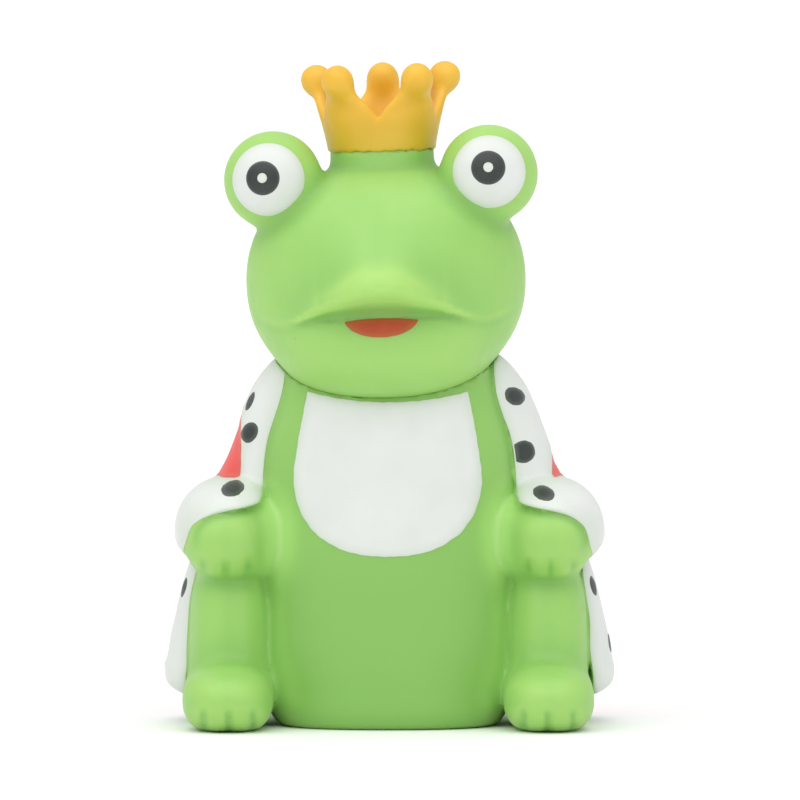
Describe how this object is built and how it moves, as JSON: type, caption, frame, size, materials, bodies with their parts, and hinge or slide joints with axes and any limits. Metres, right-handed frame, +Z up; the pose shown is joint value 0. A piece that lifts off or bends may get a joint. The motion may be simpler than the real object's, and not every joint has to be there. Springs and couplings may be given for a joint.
{
  "type": "squeaky bath toy",
  "caption": "Soft vinyl sitting frog with a ball-tipped crown, white bib and ermine-trimmed cape; pressing it pumps air through a reed squeaker in its base.",
  "frame": {"origin": "middle of the box's underside, on the surface that the toy stands on", "axes": "+Z up, the frog faces -Y, +X is the frog's own left"},
  "size_m": [0.0724, 0.059, 0.11],
  "materials": {
    "green_vinyl": "matte",
    "yellow_coat": "matte",
    "white_coat": "satin",
    "red_coat": "satin",
    "mouth_coat": "matte",
    "black_coat": "satin",
    "squeaker_plastic": "matte",
    "reed_film": "gloss"
  },
  "bodies": {
    "body": {"body_casting": "green_vinyl", "bib": "white_coat", "cape": "red_coat", "cape_trim": "white_coat", "trim_spots": "black_coat", "squeaker_housing": "squeaker_plastic", "reed_block": "squeaker_plastic", "reed_clamp": "squeaker_plastic"},
    "head": {"head_casting": "green_vinyl", "crown": "yellow_coat", "mouth": "mouth_coat", "eye_white_left": "white_coat", "eye_white_right": "white_coat", "pupil_left": "black_coat", "pupil_right": "black_coat", "eye_glint_left": "white_coat", "eye_glint_right": "white_coat"},
    "reed": {"reed": "reed_film"}
  },
  "joints": [
    {"name": "squeeze", "type": "slide", "parent": "body", "child": "head", "axis": [0, 0, -1], "range_m": [0, 0.008], "stiffness_N_per_m": 1200, "springref_m": -0.0005, "deforming": ["body_casting", "bib", "cape", "cape_trim", "trim_spots"]},
    {"name": "reed_flutter", "type": "hinge", "parent": "body", "child": "reed", "pos_m": [0, 0.00085, 0.00895], "axis": [1, 0, 0], "range_deg": [-3, 3], "stiffness_Nm_per_rad": 0.002}
  ]
}
